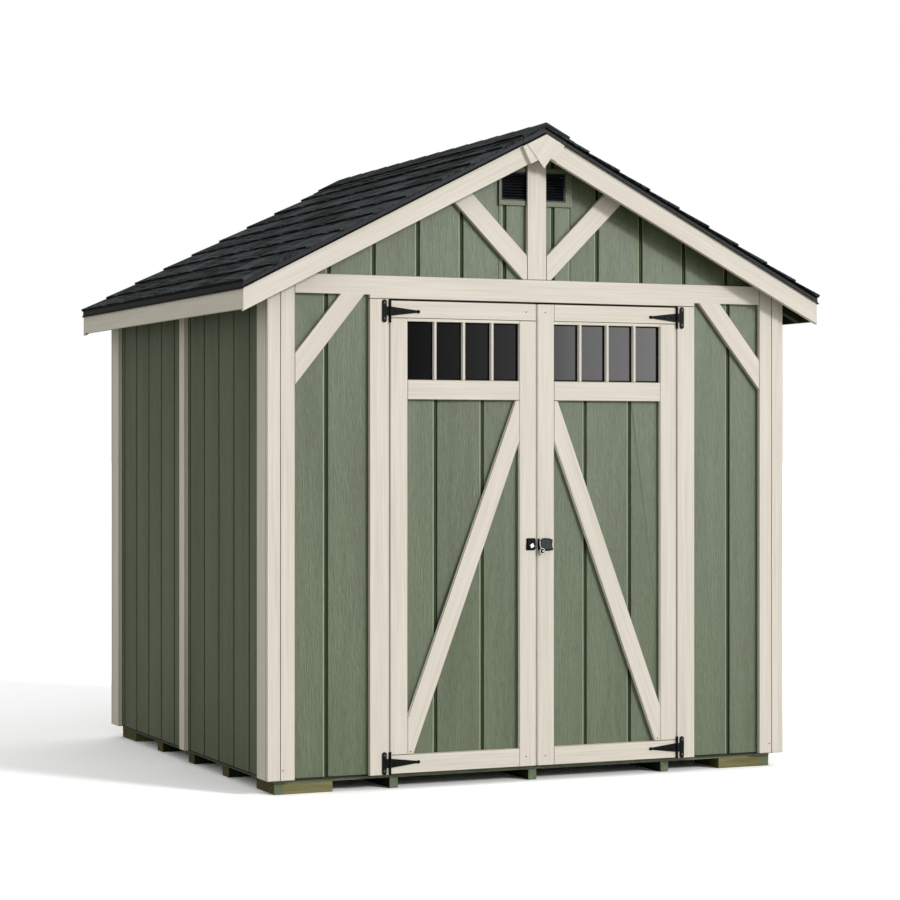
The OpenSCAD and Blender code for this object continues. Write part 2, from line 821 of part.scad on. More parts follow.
module left_panel() {
    mirror([1, 0, 0]) leaf_panel();
}

module left_frame() {
    mirror([1, 0, 0]) leaf_frame(leaf_top - rail_w - board_joint, meeting_gap / 2);
}

module left_pane() {
    mirror([1, 0, 0]) leaf_pane();
}

module left_straps() {
    mirror([1, 0, 0]) leaf_straps();
}

module right_panel() {
    leaf_panel();
}

module right_frame() {
    leaf_frame(leaf_top, meeting_gap / 2 + stile_w + board_joint);
}

module right_pane() {
    leaf_pane();
}

module right_straps() {
    leaf_straps();
}

// Rounded plate on the face of a leaf, seen from the front
module rounded_plate(w, h, r, t) {
    rotate([90, 0, 0]) linear_extrude(t) {
        square([w - 2 * r, h], center = true);
        square([w, h - 2 * r], center = true);
        for (i = [-1, 1]) for (j = [-1, 1])
            translate([i * (w / 2 - r), j * (h / 2 - r)]) circle(r = r, $fn = 32);
    }
}

module left_lock() {
    x = meeting_gap / 2 + 4 + lock_plate_w / 2;
    color(black) translate([-x, yf, leaf_z + lock_rise]) {
        rounded_plate(lock_plate_w, lock_plate_h, 5, 3);
        rounded_plate(lock_plate_w - 10, lock_plate_h - 10, 6, 8);
        rotate([90, 0, 0]) cylinder(r = 10, h = 13, $fn = 48);
        rotate([0, 45, 0]) rounded_plate(14, 14, 2, 18);
    }
}

module right_pull() {
    x = meeting_gap / 2 + 3;
    pull_t = 11;
    ring_y = -pull_t - 2 - ring_wire_r;
    ring_x = ring_r + ring_wire_r;
    ring_z = -pull_h / 2 - 2;
    color(black) translate([x, yf, leaf_z + lock_rise]) {
        translate([pull_w / 2, 0, 0]) {
            rounded_plate(pull_w, pull_h, 8, 4);
            rounded_plate(pull_w - 8, pull_h - 8, 8, pull_t);
        }
        translate([ring_x, ring_y, ring_z]) rotate([90, 0, 0])
            rotate_extrude($fn = 48) translate([ring_r, 0]) circle(r = ring_wire_r, $fn = 24);
        translate([ring_x, 0, ring_z + ring_r]) rotate([90, 0, 0])
            cylinder(r = ring_wire_r + 1.5, h = -ring_y + ring_wire_r + 2, $fn = 32);
    }
}

corner_blocks();
runners();
cross_bearers();
floor_deck();
side_plates();
end_plates();
side_studs();
end_studs();
rafters();
ridge_board();
collar_ties();
eave_blocks();
left_wall();
right_wall();
rear_wall();
front_wall_left();
front_wall_right();
front_gable();
corner_boards_side();
corner_boards_end();
battens();
tie_board();
door_casing();
king_post();
front_braces();
gable_vent();
rake_boards();
eave_fascias();
apex_plate();
drip_edges();
roof_deck();
shingles_left();
shingles_right();
ridge_cap();
hinge_plates();
left_panel();
left_frame();
left_pane();
left_straps();
left_lock();
right_panel();
right_frame();
right_pane();
right_straps();
right_pull();
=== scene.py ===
import random
from math import cos, pi, radians, sin, tan

import bmesh
import bpy
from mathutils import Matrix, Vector
from mathutils.bvhtree import BVHTree


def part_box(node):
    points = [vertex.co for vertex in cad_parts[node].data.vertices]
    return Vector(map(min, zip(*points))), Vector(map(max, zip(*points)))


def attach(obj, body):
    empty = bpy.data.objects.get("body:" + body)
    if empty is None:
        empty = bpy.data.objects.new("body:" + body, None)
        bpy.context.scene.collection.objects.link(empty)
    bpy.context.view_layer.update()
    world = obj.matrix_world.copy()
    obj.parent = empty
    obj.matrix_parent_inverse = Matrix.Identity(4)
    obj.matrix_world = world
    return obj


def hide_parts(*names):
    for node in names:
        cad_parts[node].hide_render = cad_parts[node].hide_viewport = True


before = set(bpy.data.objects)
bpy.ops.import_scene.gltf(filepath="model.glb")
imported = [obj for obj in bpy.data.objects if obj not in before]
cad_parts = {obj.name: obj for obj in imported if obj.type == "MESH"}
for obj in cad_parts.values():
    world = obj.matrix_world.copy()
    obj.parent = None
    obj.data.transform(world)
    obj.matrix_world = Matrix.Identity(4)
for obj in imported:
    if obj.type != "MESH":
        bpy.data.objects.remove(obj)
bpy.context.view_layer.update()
roofPitch = radians(27)
roofSlope = tan(roofPitch)
print("frame loaded")


def linear(hexText):
    channels = [int(hexText[i:i + 2], 16) / 255 for i in (1, 3, 5)]
    return tuple(c / 12.92 if c <= 0.04045 else ((c + 0.055) / 1.055) ** 2.4 for c in channels) + (1.0,)


def addNode(tree, kind, values=None, links=None, **settings):
    node = tree.nodes.new(kind)
    for name, value in settings.items():
        setattr(node, name, value)
    for socket, value in (values or {}).items():
        node.inputs[socket].default_value = value
    for socket, source in (links or {}).items():
        tree.links.new(source, node.inputs[socket])
    return node


def newMaterial(name):
    material = bpy.data.materials.new(name)
    material.use_nodes = True
    material.node_tree.nodes.clear()
    return material, material.node_tree


# ---- materials ----

# Exterior paint over sawn or embossed wood. The wood's grain runs along u of the map "grain".
def paintOverWood(name, s):
    material, tree = newMaterial(name)
    uv = addNode(tree, "ShaderNodeUVMap", uv_map="grain")

    def streaks(length, width, detail, waver):  # mm
        stretched = addNode(tree, "ShaderNodeMapping", {"Scale": (1000 / length, 1000 / width, 1)},
                            {"Vector": uv.outputs["UV"]})
        return addNode(tree, "ShaderNodeTexNoise",
                       {"Scale": 1.0, "Detail": detail, "Roughness": 0.6, "Distortion": waver},
                       {"Vector": stretched.outputs["Vector"]}).outputs["Fac"]

    coarse, fine = [streaks(*size, s["waver"]) for size in s["grain"]]
    blend = addNode(tree, "ShaderNodeMix", {0: s["fineShare"]}, {2: coarse, 3: fine}, data_type="FLOAT")
    worn = streaks(*s["zones"], 0.2)
    zones = addNode(tree, "ShaderNodeMapRange",
                    {"From Min": 0.35, "From Max": 0.65, "To Min": -s["zoneShift"], "To Max": s["zoneShift"]},
                    {"Value": worn})
    pressed = addNode(tree, "ShaderNodeMapRange", {"From Min": 0.35, "From Max": 0.65, "To Min": s["calm"],
                                                   "To Max": 1.0}, {"Value": worn})
    height = addNode(tree, "ShaderNodeMath", links={0: blend.outputs[0], 1: pressed.outputs[0]}, operation="MULTIPLY")
    place = addNode(tree, "ShaderNodeMath", links={0: blend.outputs[0], 1: zones.outputs[0]}, operation="ADD")
    tone = addNode(tree, "ShaderNodeValToRGB", links={"Fac": place.outputs[0]})
    tone.color_ramp.elements[0].position = s["low"]
    tone.color_ramp.elements[1].position = s["high"]
    tone.color_ramp.elements[0].color = linear(s["valley"])
    tone.color_ramp.elements[1].color = linear(s["ridge"])
    bump = addNode(tree, "ShaderNodeBump", {"Strength": s["bump"], "Distance": s["depth"] / 1000},
                   {"Height": height.outputs[0]})
    shader = addNode(tree, "ShaderNodeBsdfPrincipled",
                     {"Roughness": s["roughness"], "IOR": 1.5, "Specular IOR Level": s["gloss"]},
                     {"Base Color": tone.outputs["Color"], "Normal": bump.outputs["Normal"]})
    addNode(tree, "ShaderNodeOutputMaterial", links={"Surface": shader.outputs["BSDF"]})
    return material


# Satin acrylic paint on smooth trim: faint lengthwise grain shows through
creamTrim = dict(grain=[(700, 14, 3), (300, 7, 4)], zones=(900, 60, 2), zoneShift=0.05, calm=0.6, fineShare=0.5,
                 waver=0.3, low=0.32, high=0.62, roughness=0.5, gloss=0.3)
creamPaint = paintOverWood("creamTrimPaint", dict(creamTrim, valley="#D5CDC1", ridge="#E5DED4", bump=0.5, depth=0.5))
# The same paint where two boards meet, darkened as painted shade in the joint
jointShadePaint = paintOverWood("creamJointPaintedShade", dict(creamTrim, valley="#857B67", ridge="#978D79", bump=0.2, depth=0.3))
# The same paint made lighter as painted light, on the shaded sides of the window bars and the edges of the leaves
barSideLitPaint = paintOverWood("creamBarSidesPaintedLight", dict(creamTrim, valley="#FBF8F0", ridge="#FFFDF8", bump=0.3, depth=0.3))
# Satin acrylic paint on panels pressed with a rough cedar grain
embossed = dict(grain=[(90, 10, 3), (34, 6, 2)], zones=(1500, 130, 2), zoneShift=0.1, calm=0.35, fineShare=0.5,
                waver=0.8, low=0.3, high=0.72, roughness=0.48, gloss=0.62)
sagePaint = paintOverWood("sagePanelPaint", dict(embossed, valley="#49543A", ridge="#646F57", bump=1.0, depth=2.6))
# The same paint made pale as a painted highlight, on the sunlit slope beside each groove and on the front of the floor
# deck
sageEdgeHighlight = paintOverWood("sageGrooveEdgeHighlight", dict(embossed, valley="#84906F", ridge="#98A284", bump=0.4,
                                                     depth=0.5))
# The same paint darkened as painted shade, in the bottom and walls of a groove
sageGrooveShade = paintOverWood("sageGrooveBottomShade", dict(embossed, valley="#1B2711", ridge="#2A381B", bump=0.3,
                                                         depth=0.5, gloss=0.2))
# Sprayed coat on rough framing timber
sprayed = dict(grain=[(320, 16, 4), (90, 4, 4)], zones=(600, 80, 2), zoneShift=0.1, calm=0.6, fineShare=0.5, waver=0.5,
               low=0.3, high=0.7, bump=0.5, depth=0.6)
sageTimberPaint = paintOverWood("sageTimberPaint", dict(sprayed, valley="#4F5B41", ridge="#68745A", roughness=0.55,
                                                        gloss=0.4))
# The same coat darkened as painted shade, on timber under the floor and the eaves and on the backs of the eave boards
sageShadedUnderside = paintOverWood("sageUndersidePaintedShade", dict(sprayed, valley="#20291A", ridge="#2B3522", roughness=0.6,
                                                         gloss=0.2))
# Pressure treated softwood, sawn, olive brown from the salts
treated = dict(grain=[(420, 10, 3), (150, 4, 3)], zones=(500, 60, 2), zoneShift=0.12, calm=0.6, fineShare=0.4,
               waver=1.2, low=0.28, high=0.72, bump=0.6, depth=0.8, roughness=0.75, gloss=0.3)
treatedPine = paintOverWood("treatedPine", dict(treated, valley="#5E5A3A", ridge="#918C5F"))
# The same wood, darker: end grain, with painted shade for the side faces of the blocks and the ends of the bearers
treatedPineEndShade = paintOverWood("treatedPineEndShade", dict(treated, valley="#4A4624", ridge="#6B6439"))
# Kiln dried framing lumber, planed
framePine = paintOverWood("framingPine", dict(
    grain=[(600, 12, 4), (160, 3, 4)], zones=(700, 60, 2), zoneShift=0.1, calm=0.6, fineShare=0.5, waver=1.4, low=0.3,
    high=0.7, valley="#B08C5C", ridge="#D2B587", bump=0.3, depth=0.4, roughness=0.6, gloss=0.4))
# Strand board: the unpainted back of the panels and the upper side of the floor deck
strandBoard = paintOverWood("strandBoard", dict(
    grain=[(60, 18, 2), (24, 7, 2)], zones=(300, 300, 2), zoneShift=0.05, calm=0.6, fineShare=0.5, waver=2.2, low=0.3,
    high=0.7, valley="#8B6A40", ridge="#C09A66", bump=0.4, depth=0.5, roughness=0.7, gloss=0.3))


# Powder coated steel: near black, fine orange peel, soft sheen
def powderCoat(name, dark, pale, roughness, peelMm, dimple, gloss):
    material, tree = newMaterial(name)
    place = addNode(tree, "ShaderNodeTexCoord")
    peel = addNode(tree, "ShaderNodeTexNoise", {"Scale": 1000 / peelMm, "Detail": 2.0},
                   {"Vector": place.outputs["Object"]})
    tone = addNode(tree, "ShaderNodeValToRGB", links={"Fac": peel.outputs["Fac"]})
    tone.color_ramp.elements[0].position = 0.35
    tone.color_ramp.elements[1].position = 0.65
    tone.color_ramp.elements[0].color = linear(dark)
    tone.color_ramp.elements[1].color = linear(pale)
    bump = addNode(tree, "ShaderNodeBump", {"Strength": 0.6, "Distance": dimple / 1000},
                   {"Height": peel.outputs["Fac"]})
    shader = addNode(tree, "ShaderNodeBsdfPrincipled",
                     {"Roughness": roughness, "IOR": 1.5, "Specular IOR Level": gloss},
                     {"Base Color": tone.outputs["Color"], "Normal": bump.outputs["Normal"]})
    addNode(tree, "ShaderNodeOutputMaterial", links={"Surface": shader.outputs["BSDF"]})
    return material


# Hammered black coat on the hinges and lock
hingeCoat = powderCoat("hammeredBlackCoat", "#040505", "#101112", 0.45, 9, 0.7, 0.08)
screwCoat = powderCoat("blackZincScrew", "#232425", "#313233", 0.35, 5, 0.2, 0.4)
pullCoat = powderCoat("charcoalPowderCoat", "#181A1C", "#24272A", 0.5, 7, 0.3, 0.3)
dripCoat = powderCoat("bakedEnamelSteel", "#121416", "#181A1C", 0.5, 60, 0.1, 0.22)
louvreVinyl = powderCoat("louvreVinyl", "#14171C", "#1C2027", 0.4, 30, 0.1, 0.3)
# Black rubber for the window gaskets, also black as painted shade in the gaps around the tops of the doors
gasketAndGapShade = powderCoat("blackGasketAndGapShade", "#040404", "#090909", 0.7, 6, 0.1, 0.1)


# Chrome plated steel
def chromePlate():
    material, tree = newMaterial("chromePlatedSteel")
    shader = addNode(tree, "ShaderNodeBsdfPrincipled",
                     {"Base Color": linear("#E6E7E8"), "Metallic": 1.0, "Roughness": 0.35})
    addNode(tree, "ShaderNodeOutputMaterial", links={"Surface": shader.outputs["BSDF"]})
    return material


chrome = chromePlate()


# Grey tinted acrylic: almost opaque, mirror smooth
def tintedSheet():
    material, tree = newMaterial("tintedAcrylic")
    shader = addNode(tree, "ShaderNodeBsdfPrincipled",
                     {"Base Color": linear("#0A0B0B"), "Roughness": 0.03, "IOR": 1.6})
    addNode(tree, "ShaderNodeOutputMaterial", links={"Surface": shader.outputs["BSDF"]})
    return material


acrylic = tintedSheet()


# Mineral granules pressed into asphalt. Each shingle has its own blend of dark and pale granules.
def shingleGranules(name, s):
    material, tree = newMaterial(name)
    uv = addNode(tree, "ShaderNodeUVMap", uv_map="grain")
    blend = addNode(tree, "ShaderNodeAttribute", attribute_name="granuleBlend")
    streaked = addNode(tree, "ShaderNodeMapping", {"Rotation": (0, 0, radians(s["skew"])),
                                                   "Scale": (s["streakWidth"] / 1000, s["streakLength"] / 1000, 1)},
                       {"Vector": uv.outputs["UV"]}, vector_type="TEXTURE")
    streaks = addNode(tree, "ShaderNodeTexNoise", {"Scale": 1.0, "Detail": 3.0, "Roughness": 0.6},
                      {"Vector": streaked.outputs["Vector"]})
    grit = addNode(tree, "ShaderNodeTexNoise", {"Scale": 1000 / s["grit"], "Detail": 3.0, "Roughness": 0.7},
                   {"Vector": uv.outputs["UV"]})
    mixed = addNode(tree, "ShaderNodeMath", {1: 2.2}, {0: streaks.outputs["Fac"], 2: blend.outputs["Fac"]},
                    operation="MULTIPLY_ADD")
    withGrit = addNode(tree, "ShaderNodeMath", {1: 0.6}, {0: grit.outputs["Fac"], 2: mixed.outputs[0]},
                       operation="MULTIPLY_ADD")
    spread = addNode(tree, "ShaderNodeMapRange", {"From Min": s["low"], "From Max": s["high"]},
                     {"Value": withGrit.outputs[0]})
    tone = addNode(tree, "ShaderNodeValToRGB", links={"Fac": spread.outputs[0]})
    tone.color_ramp.elements[0].color = linear(s["dark"])
    tone.color_ramp.elements[1].color = linear(s["pale"])
    bump = addNode(tree, "ShaderNodeBump", {"Strength": 0.6, "Distance": 0.0015}, {"Height": grit.outputs["Fac"]})
    shader = addNode(tree, "ShaderNodeBsdfPrincipled", {"Roughness": 0.8, "IOR": 1.5, "Specular IOR Level": 0.15},
                     {"Base Color": tone.outputs["Color"], "Normal": bump.outputs["Normal"]})
    addNode(tree, "ShaderNodeOutputMaterial", links={"Surface": shader.outputs["BSDF"]})
    return material


# Real granules are 1 to 2 mm. They are drawn at 6 mm so that the blend shows.
granules = dict(streakLength=600, streakWidth=24, skew=9, grit=6)
asphalt = shingleGranules("asphaltShingle", dict(granules, low=1.2, high=1.95, dark="#030404", pale="#444B4D"))
# The cut lower edge and underside of a shingle: bare black asphalt with few granules, made near black as painted shade
# under each course
asphaltEdgeShade = shingleGranules("asphaltCutEdgeShade", dict(granules, low=1.3, high=2.1, dark="#010101", pale="#090A0B"))
print("materials made")


# ---- shared modelling steps ----

def copyNode(name):
    bm = bmesh.new()
    bm.from_mesh(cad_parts[name].data)
    bmesh.ops.remove_doubles(bm, verts=bm.verts, dist=1e-5)
    bmesh.ops.dissolve_limit(bm, angle_limit=radians(1), verts=bm.verts, edges=bm.edges)
    return bm


def solidsOf(bm):
    left = set(bm.faces)
    while left:
        start = left.pop()
        found, todo = [start], [start]
        while todo:
            for edge in todo.pop().edges:
                for face in edge.link_faces:
                    if face in left:
                        left.discard(face)
                        found.append(face)
                        todo.append(face)
        yield found


# Lays the grain of every board along its longest edge, each board from its own place in the pattern
def layGrain(bm, seed, along=None):
    chance = random.Random(seed)
    layer = bm.loops.layers.uv.get("grain") or bm.loops.layers.uv.new("grain")
    endGrain = 12
    for faces in solidsOf(bm):
        if along:
            run = Vector(along)
        else:
            edges = {edge for face in faces for edge in face.edges}
            longest = max(edges, key=lambda edge: edge.calc_length())
            run = (longest.verts[1].co - longest.verts[0].co).normalized()
        shift = (chance.uniform(0, 40), chance.uniform(0, 40))
        for face in faces:
            across = face.normal.cross(run)
            if across.length > 0.3:
                u, v = run, across.normalized()
                stretch = 1
            else:
                u = face.normal.orthogonal().normalized()
                v = face.normal.cross(u)
                stretch = endGrain
            for loop in face.loops:
                loop[layer].uv = (loop.vert.co.dot(u) * stretch + shift[0], loop.vert.co.dot(v) + shift[1])


# Edges that lie at the height flush, where a board butts on the one below, stay sharp
def easeEdges(bm, width, segments=2, flush=-1):
    sharp = [e for e in bm.edges if len(e.link_faces) == 2 and e.calc_face_angle() > radians(28)
             and max(abs(v.co.z - flush) for v in e.verts) > 0.0001]
    bmesh.ops.bevel(bm, geom=sharp, offset=width, offset_type="OFFSET", segments=segments, profile=0.5,
                    affect="EDGES", material=-1, clamp_overlap=True)


# A seam across every face on a plane, so that the two sides can have their own coat
def cutThrough(bm, point, normal):
    bmesh.ops.bisect_plane(bm, geom=bm.faces[:] + bm.edges[:] + bm.verts[:], dist=1e-6, plane_co=point,
                           plane_no=normal)


# Every cream board as modelled, to find where two of them meet
def boardTree(nodes):
    whole = bmesh.new()
    for node in nodes:
        whole.from_mesh(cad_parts[node].data)
    tree = BVHTree.FromBMesh(whole)
    whole.free()
    return tree


# Marks the eased edges that face another board across a narrow joint, for the painted shade of the joint. Flat and
# large faces, and the eave ends of the rake boards, are none.
def markJoints(bm, tree, index, reach=0.0045):
    for face in bm.faces:
        normal = face.normal
        if max(abs(normal.x), abs(normal.y), abs(normal.z)) > 0.985 or face.calc_area() > 0.004 or \
                abs(face.calc_center_median().x) > 1.3:
            continue
        lead = Vector((normal.x, 0, normal.z)) if abs(normal.y) > 0.1 else Vector((0, normal.y, normal.z))
        if lead.length < 0.05:
            continue
        start = face.calc_center_median() + Vector((0, 0.004 if normal.y < 0 else -0.004, 0))
        if tree.ray_cast(start, lead.normalized(), reach)[0]:
            face.material_index = index


# Skins closed rings of points, one after the other, and caps both ends
def loftRings(bm, rings):
    loops = [[bm.verts.new(point) for point in ring] for ring in rings]
    made = [bm.faces.new(loops[0]), bm.faces.new(loops[-1][::-1])]
    for near, far in zip(loops, loops[1:]):
        for i in range(len(near)):
            made.append(bm.faces.new((near[i - 1], far[i - 1], far[i], near[i])))
    bmesh.ops.recalc_face_normals(bm, faces=made)
    return made


# A flat outline of X and Z, given in turn, made solid from y0 back to y1
def addSlab(bm, outline, y0, y1):
    return loftRings(bm, [[(x, y, z) for x, z in outline] for y in (y0, y1)])


def finishPiece(bm, name, body, materials, slot, replaced=(), smooth=False):
    mesh = bpy.data.meshes.new(name)
    bm.to_mesh(mesh)
    bm.free()
    for material in materials:
        mesh.materials.append(material)
    piece = bpy.data.objects.new(name, mesh)
    bpy.context.scene.collection.objects.link(piece)
    if smooth:
        mesh.shade_smooth()
        mesh.set_sharp_from_angle(angle=radians(35))
    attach(piece, body)
    if replaced:
        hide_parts(*replaced)
    return piece


# ---- timber and boards: eased edges, grain along each board ----

boardEasing = {
    # node: (piece, easing in mm, material, slot)
    "corner_blocks": ("cornerBlocks", 3.0, treatedPine, "treated_timber"),
    "runners": ("floorRunners", 2.5, sageShadedUnderside, "sage_timber"),
    "cross_bearers": ("sideBearers", 2.5, sageShadedUnderside, "sage_timber"),
    "side_plates": ("sideWallPlates", 2.5, framePine, "treated_timber"),
    "end_plates": ("endWallPlates", 2.5, framePine, "treated_timber"),
    "side_studs": ("sideWallStuds", 2.5, framePine, "treated_timber"),
    "end_studs": ("endWallStuds", 2.5, framePine, "treated_timber"),
    "rafters": ("roofRafters", 2.5, framePine, "treated_timber"),
    "ridge_board": ("ridgeBoard", 2.0, framePine, "treated_timber"),
    "collar_ties": ("collarTies", 2.0, framePine, "treated_timber"),
    "eave_blocks": ("eaveBlocks", 1.5, sageShadedUnderside, "sage_timber"),
    "corner_boards_side": ("sideCornerBoards", 1.8, creamPaint, "cream_board"),
    "corner_boards_end": ("frontCornerBoards", 1.8, creamPaint, "cream_board"),
    "battens": ("wallBattens", 1.8, creamPaint, "cream_board"),
    "tie_board": ("tieBoard", 1.8, creamPaint, "cream_board"),
    "door_casing": ("doorCasing", 1.8, creamPaint, "cream_board"),
    "king_post": ("kingPost", 1.8, creamPaint, "cream_board"),
    "front_braces": ("frontBraces", 1.8, creamPaint, "cream_board"),
    "rake_boards": ("rakeBoards", 1.8, creamPaint, "cream_board"),
    "eave_fascias": ("eaveFascias", 1.8, creamPaint, "cream_board"),
}
# The materials of a board in their order, after its own
boardCoats = [sageShadedUnderside, jointShadePaint, gasketAndGapShade, sageTimberPaint, treatedPineEndShade]
ownCoat, underShadeCoat, jointShadeCoat, gapShadeCoat, timberCoat, endGrainShadeCoat = range(6)
creamTree = boardTree([node for node, made in boardEasing.items() if made[2] is creamPaint] +
                      ["left_frame", "right_frame", "apex_plate"])
paintedLength = 0.039
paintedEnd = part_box("corner_blocks")[1].x - paintedLength
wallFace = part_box("side_plates")[1]
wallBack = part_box("side_plates")[0]
for number, (node, (piece, easing, material, slot)) in enumerate(boardEasing.items()):
    bm = copyNode(node)
    easeEdges(bm, easing / 1000, flush=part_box("tie_board")[0].z)
    if node == "rafters":
        for side in (-1, 1):
            cutThrough(bm, (side * wallFace.x, 0, 0), (1, 0, 0))
    if node == "corner_blocks":
        for side in (-1, 1):
            cutThrough(bm, (side * paintedEnd, 0, 0), (1, 0, 0))
    layGrain(bm, number)
    for face in bm.faces:
        middle = face.calc_center_median()
        # Rafter tails, the outer feet of the wall plates and the backs of the fascias and rake boards get the dark
        # coat: painted shade
        tail = node == "rafters" and abs(middle.x) > wallFace.x
        foot = node.endswith("_plates") and middle.z < 0.12 and \
            (face.normal.x * middle.x > 0.9 * abs(middle.x) or face.normal.y * middle.y > 0.9 * abs(middle.y))
        outer = Vector((middle.x, 0, 0)) if node == "eave_fascias" else Vector((0, middle.y, 0))
        back = node in ("eave_fascias", "rake_boards") and face.normal.dot(outer.normalized()) < -0.9
        face.material_index = underShadeCoat if tail or foot or back else ownCoat
        # Side faces of the blocks and ends of the bearers get the darker wood: end grain, and painted shade
        if node in ("corner_blocks", "cross_bearers") and abs(face.normal.x) > 0.9:
            face.material_index = endGrainShadeCoat
        elif node == "corner_blocks" and abs(middle.x) > paintedEnd or node == "runners" and face.normal.y < -0.9:
            face.material_index = timberCoat
        # The underside of the casing head over the doors gets black: painted shade in the gap above the leaves
        elif node == "door_casing" and face.normal.z < -0.3 and middle.z > 2:
            face.material_index = gapShadeCoat
    # Eased edges at the joints get the painted shade of the joint
    if material is creamPaint and node != "eave_fascias":
        markJoints(bm, creamTree, jointShadeCoat)
    finishPiece(bm, piece, "shed", [material] + boardCoats, slot, [node])
print("boards eased")


# ---- floor and roof decks: painted edges and overhangs, bare inside ----

deckCoats = [sagePaint, sageShadedUnderside, strandBoard, sageEdgeHighlight]
painted, shaded, bare, litDeckLip = range(4)
for node, piece in [("floor_deck", "floorDeck"), ("roof_deck", "roofDeck")]:
    bm = copyNode(node)
    for place, normal in [(wallFace.x, (1, 0, 0)), (-wallFace.x, (1, 0, 0)), (wallFace.y, (0, 1, 0)),
                          (wallBack.y, (0, 1, 0))]:
        cutThrough(bm, Vector(normal) * place, normal)
    layGrain(bm, len(piece), (0, 1, 0))
    for face in bm.faces:
        middle = face.calc_center_median()
        indoors = abs(middle.x) < wallFace.x and wallBack.y < middle.y < wallFace.y
        if node == "floor_deck":
            # Outside the front wall the deck's front and top get the pale paint: painted highlight
            front = middle.y < wallBack.y and face.normal.z > -0.5
            face.material_index = bare if indoors and face.normal.z > 0.5 else litDeckLip if front else painted
        else:
            # Outside the walls the roof deck gets the dark coat: painted shade under the eaves
            face.material_index = bare if indoors and face.normal.z < -0.5 else shaded
    finishPiece(bm, piece, "shed", deckCoats, "sage_timber", [node])


# ---- grooved panels ----

# Each groove has a wide worked slope on its left, as seen from outside, and an eased edge on its right
groove = dict(lip=0.0055, lipDrop=0.0025, wall=0.007, wallDrop=0.0058, edge=0.002)
panels = {
    # node: (piece, body, outward direction)
    "left_wall": ("leftPanels", "shed", (-1, 0, 0)),
    "right_wall": ("rightPanels", "shed", (1, 0, 0)),
    "rear_wall": ("rearPanels", "shed", (0, 1, 0)),
    "front_wall_left": ("frontPanelLeft", "shed", (0, -1, 0)),
    "front_wall_right": ("frontPanelRight", "shed", (0, -1, 0)),
    "front_gable": ("gablePanel", "shed", (0, -1, 0)),
    "left_panel": ("leftDoorPanel", "left_door", (0, -1, 0)),
    "right_panel": ("rightDoorPanel", "right_door", (0, -1, 0)),
}


# Distance of the wall's face along the outward direction: the level with the largest area
def wallLevel(bm, outward):
    areas = {}
    for face in bm.faces:
        if face.normal.dot(outward) > 0.99:
            level = round(face.verts[0].co.dot(outward), 4)
            areas[level] = areas.get(level, 0) + face.calc_area()
    return max(areas, key=areas.get)


def slopeGrooveLips(bm, outward, level):
    right = outward.cross(Vector((0, 0, 1))) * -1

    # Vertical edges on the wall's face where a groove's left (1) or right (-1) wall begins
    def lipEdges(side):
        found = []
        for edge in bm.edges:
            a, b = [v.co for v in edge.verts]
            if abs((a - b).normalized().z) < 0.99 or abs(a.dot(outward) - level) > 0.0003:
                continue
            walls = [f for f in edge.link_faces if f.normal.dot(right) * side > 0.99]
            fronts = [f for f in edge.link_faces if f.normal.dot(outward) > 0.99]
            if walls and fronts and min(v.co.dot(outward) for v in walls[0].verts) > level - 0.008:
                found.append(edge)
        return found

    def lower(place, drop):
        for vert in bm.verts:
            if abs(vert.co.dot(right) - place) < 0.0002 and abs(vert.co.dot(outward) - level) < 0.0003:
                vert.co -= outward * drop

    for side in (1, -1):
        places = sorted({round(e.verts[0].co.dot(right), 5) for e in lipEdges(side)})
        steps = [groove["wall"] + groove["lip"], groove["wall"], 0] if side > 0 else [groove["edge"], 0]
        for place in places:
            for step in steps:
                front = [f for f in bm.faces if f.normal.dot(outward) > 0.99
                         and abs(f.verts[0].co.dot(outward) - level) < 0.0003]
                geometry = front + list({e for f in front for e in f.edges}) + \
                    list({v for f in front for v in f.verts})
                bmesh.ops.bisect_plane(bm, geom=geometry, dist=1e-6, plane_co=right * (place - side * step),
                                       plane_no=right)
        for place in places:
            if side > 0:
                lower(place - groove["wall"], groove["lipDrop"])
            lower(place, groove["wallDrop"] if side > 0 else groove["edge"])
        bm.normal_update()


panelCoats = [sagePaint, sageEdgeHighlight, strandBoard, sageGrooveShade]
painted, lipHighlightCoat, bare, grooveShadeCoat = range(4)
for number, (node, (piece, body, outward)) in enumerate(panels.items()):
    bm = copyNode(node)
    outward = Vector(outward)
    level = wallLevel(bm, outward)
    slopeGrooveLips(bm, outward, level)
    layGrain(bm, 60 + number, (0, 0, 1))
    for face in bm.faces:
        facing = face.normal.dot(outward)
        depths = [level - v.co.dot(outward) for v in face.verts]
        # Faces inside a groove get the dark paint: painted shade
        inGroove = min(depths) > 0.0015 and max(depths) < 0.0065 and abs(face.normal.z) < 0.5
        # On the front and rear walls the slopes beside the grooves get the pale paint: painted highlight
        lip = 0.8 < facing < 0.99 and abs(outward.x) < 0.5
        face.material_index = bare if facing < -0.9 else grooveShadeCoat if inGroove else lipHighlightCoat if lip else painted
    finishPiece(bm, piece, body, panelCoats, "sage_panel", [node])
print("panels grooved")


# ---- doors ----

